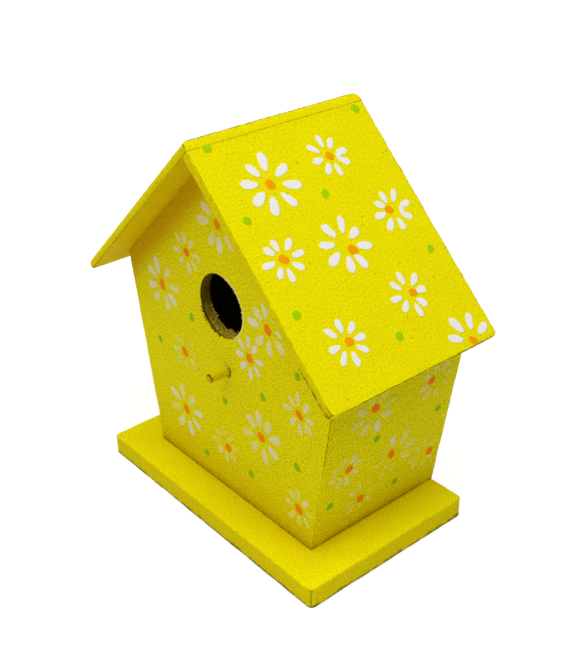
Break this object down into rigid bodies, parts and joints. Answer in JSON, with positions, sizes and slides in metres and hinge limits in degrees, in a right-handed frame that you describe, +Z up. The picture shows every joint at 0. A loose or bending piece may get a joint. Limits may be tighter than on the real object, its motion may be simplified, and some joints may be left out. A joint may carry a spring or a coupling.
{
  "type": "birdhouse",
  "caption": "Small gabled wooden birdhouse on a base board, with leaning side walls, a round entrance hole, a dowel perch and painted daisies.",
  "frame": {"origin": "centre of the base board's underside", "axes": "+X to the right seen from the front, +Y to the back, +Z up"},
  "size_m": [0.1868, 0.103, 0.2038],
  "materials": {
    "yellow_paint": "thin wooden board, sanded and painted lemon yellow, satin",
    "white_paint": "hand-dabbed white paint of the petals",
    "orange_paint": "hand-dabbed orange paint of the daisy centres",
    "green_paint": "hand-dabbed green paint of the dots",
    "bare_wood": "unpainted fibres in the entrance hole and in chipped edges",
    "brad_steel": "plain steel"
  },
  "bodies": {
    "root": {"base_board": "yellow_paint", "front_wall": "yellow_paint", "back_wall": "yellow_paint", "left_wall": "yellow_paint", "right_wall": "yellow_paint", "left_roof_panel": "yellow_paint", "right_roof_panel": "yellow_paint", "perch": "yellow_paint", "front_wall_brads": "brad_steel", "back_wall_brads": "brad_steel", "base_brads": "brad_steel", "left_roof_brads": "brad_steel", "right_roof_brads": "brad_steel", "ridge_brads": "brad_steel"}
  },
  "joints": []
}
